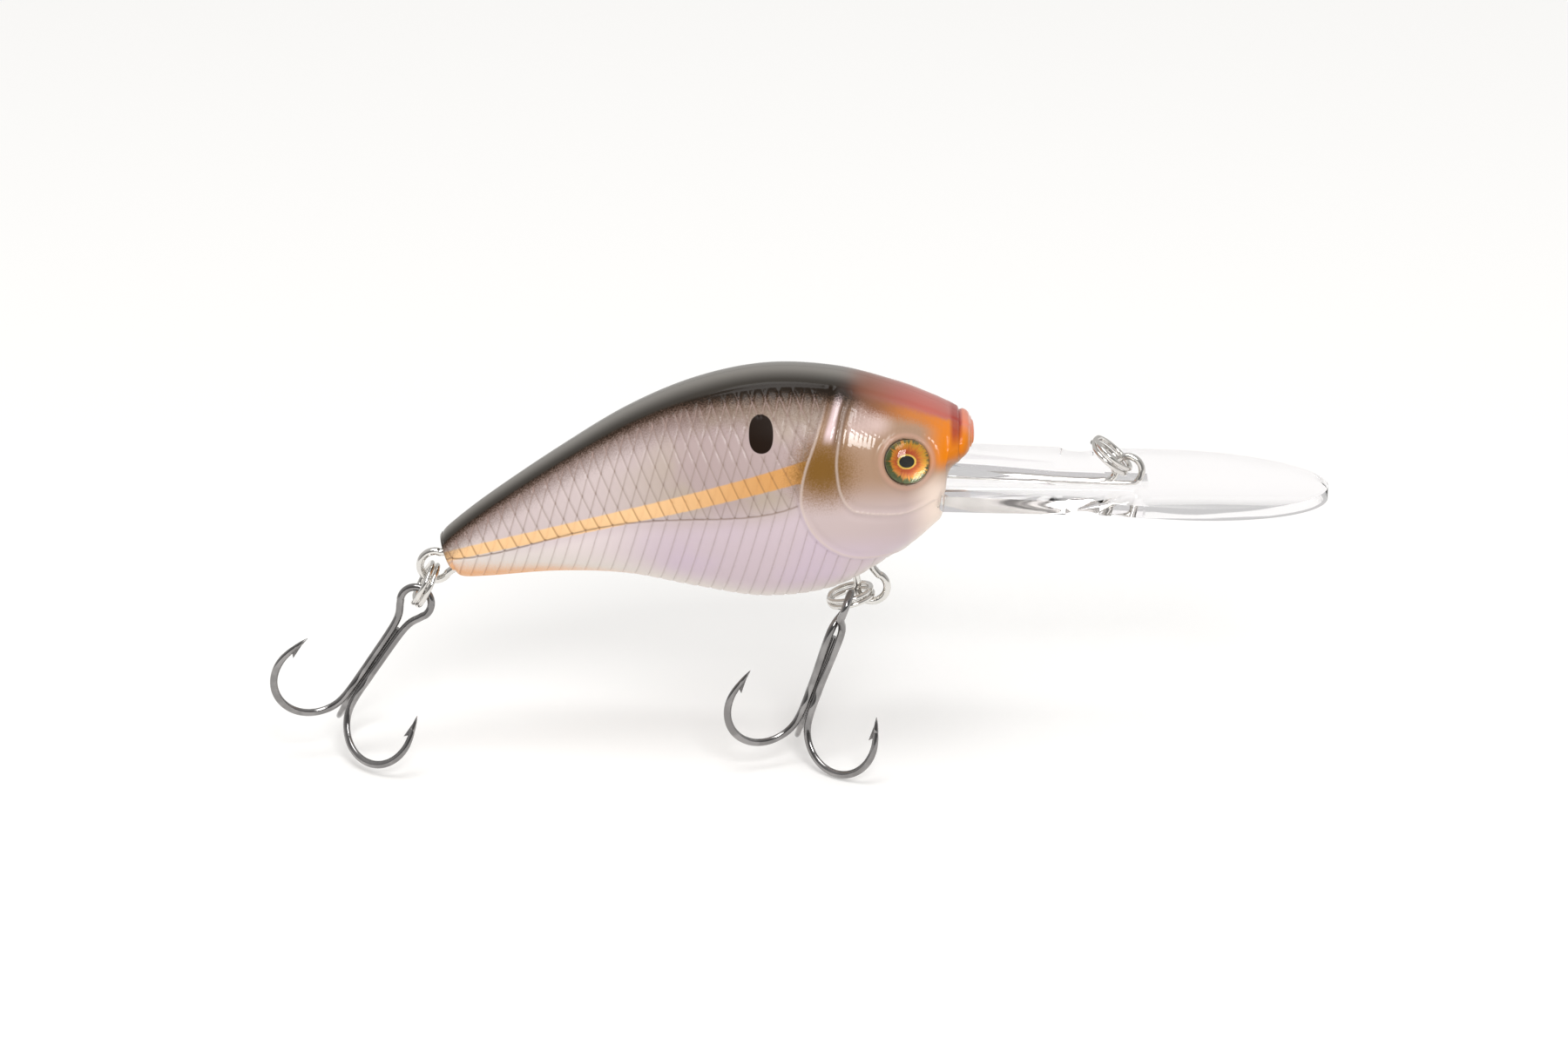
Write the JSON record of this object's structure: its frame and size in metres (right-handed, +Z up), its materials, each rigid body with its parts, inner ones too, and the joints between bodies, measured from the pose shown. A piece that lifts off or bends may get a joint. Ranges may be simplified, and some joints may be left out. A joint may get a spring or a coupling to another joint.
{
  "type": "crankbait lure",
  "caption": "Deep-diving crankbait: hollow pearl-painted fish body with a long clear diving lip, a wire line tie, and treble hooks hung on split rings.",
  "frame": {"origin": "centre of the line-tie wire loop that stands on the diving lip", "axes": "swimming attitude: +X forward along the diving lip, +Z up towards the back of the body, +Y to the lure's left"},
  "size_m": [0.1362, 0.0235, 0.0537],
  "materials": {
    "pearl_paint": "pearl and translucent paint under clear coat on moulded ABS",
    "clear_polycarbonate": "clear polycarbonate",
    "eye_lens": "clear domed resin",
    "iris_foil": "printed foil disc",
    "stainless_wire": "bright stainless wire",
    "nickel_ring": "bright nickel plate",
    "black_nickel": "black nickel plate",
    "steel_ballast": "plain steel"
  },
  "bodies": {
    "lure": {"body_shell_right": "pearl_paint", "body_shell_left": "pearl_paint", "diving_lip": "clear_polycarbonate", "line_tie_wire": "stainless_wire", "belly_hanger_wire": "stainless_wire", "tail_hanger_wire": "stainless_wire", "eye_iris_right": "iris_foil", "eye_iris_left": "iris_foil", "eye_lens_right": "eye_lens", "eye_lens_left": "eye_lens", "keel_weight": "steel_ballast", "nose_weight": "steel_ballast"},
    "line_ring": {"line_tie_ring": "nickel_ring"},
    "belly_ring": {"belly_split_ring": "nickel_ring"},
    "tail_ring": {"tail_split_ring": "nickel_ring"},
    "belly_treble": {"belly_treble_double": "black_nickel", "belly_treble_third": "black_nickel"},
    "tail_treble": {"tail_treble_double": "black_nickel", "tail_treble_third": "black_nickel"},
    "rattle_1": {"rattle_ball_1": "steel_ballast"},
    "rattle_2": {"rattle_ball_2": "steel_ballast"}
  },
  "joints": [
    {"name": "line_ring_swing", "type": "hinge", "parent": "lure", "child": "line_ring", "pos_m": [0, 0, 0], "axis": [0, 1, 0], "range_deg": [-25, 120]},
    {"name": "belly_ring_swing", "type": "hinge", "parent": "lure", "child": "belly_ring", "pos_m": [-0.03279, 0, -0.01646], "axis": [0, 1, 0], "range_deg": [-90, 5]},
    {"name": "belly_treble_swing", "type": "hinge", "parent": "belly_ring", "child": "belly_treble", "pos_m": [-0.03604, -0.00283, -0.01733], "axis": [0.9513, -0.1737, 0.2549], "range_deg": [-60, 52]},
    {"name": "tail_ring_swing", "type": "hinge", "parent": "lure", "child": "tail_ring", "pos_m": [-0.08906, 0, -0.01313], "axis": [0, 1, 0], "range_deg": [-45, 80]},
    {"name": "tail_treble_swing", "type": "hinge", "parent": "tail_ring", "child": "tail_treble", "pos_m": [-0.09167, 0, -0.01824], "axis": [0, 1, 0], "range_deg": [-45, 75]},
    {"name": "rattle_1_roll", "type": "slide", "parent": "lure", "child": "rattle_1", "axis": [0, 1, 0], "range_m": [-0.006, 0.006]},
    {"name": "rattle_2_roll", "type": "slide", "parent": "lure", "child": "rattle_2", "axis": [0, 1, 0], "range_m": [-0.0049, 0.0049]}
  ]
}
